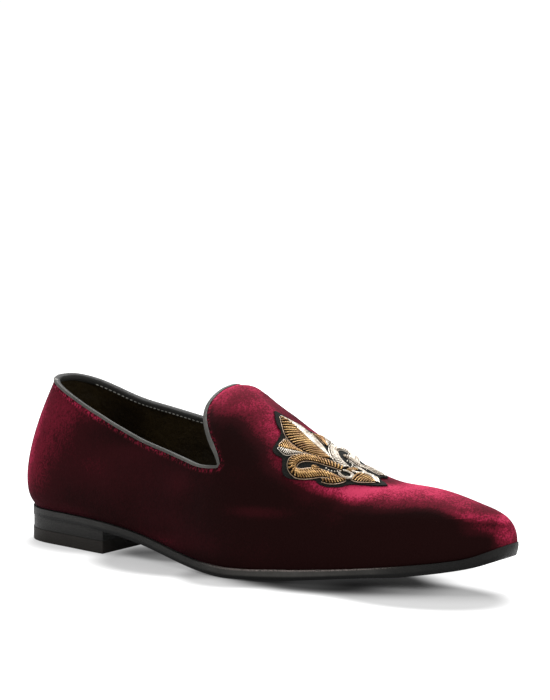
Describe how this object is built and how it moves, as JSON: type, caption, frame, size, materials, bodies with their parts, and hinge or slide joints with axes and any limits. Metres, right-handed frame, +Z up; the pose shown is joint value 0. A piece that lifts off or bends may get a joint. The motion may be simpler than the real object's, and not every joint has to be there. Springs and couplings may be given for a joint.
{
  "type": "velvet loafer",
  "caption": "Right slip-on evening loafer: velvet upper with a rounded tongue, bound collar and embroidered fleur-de-lis on the vamp, flat leather outsole and low stacked heel.",
  "frame": {"origin": "on the floor under the middle of the shoe's bounding box", "axes": "+X from heel to toe, +Y toward the wearer's other foot (inner side), +Z up from the floor"},
  "size_m": [0.3008, 0.1044, 0.093],
  "materials": {
    "velvet": "short-pile burgundy velvet with a crimson sheen",
    "binding": "dark grey-black edge binding, matt",
    "sole": "black dressed leather edge, satin",
    "stack": "black dressed stacked leather, satin",
    "rubber": "brown-black rubber, matt",
    "lining": "dark brown-black lining leather, soft satin",
    "felt": "black wool felt, matt",
    "gold": "gold bullion thread, satin metal",
    "silver": "silver bullion thread, satin metal"
  },
  "bodies": {
    "root": {"upper": "velvet", "collar_binding": "binding", "outsole": "sole", "heel_stack": "stack", "top_lift": "rubber", "insole": "lining", "crest_felt": "felt", "crest_leaf": "gold", "crest_tail": "gold", "crest_band": "silver", "crest_side_leaf_outer": "gold", "crest_scroll_outer": "gold", "crest_lower_curl_outer": "gold", "crest_side_leaf_inner": "silver", "crest_scroll_inner": "silver", "crest_lower_curl_inner": "silver"}
  },
  "joints": []
}
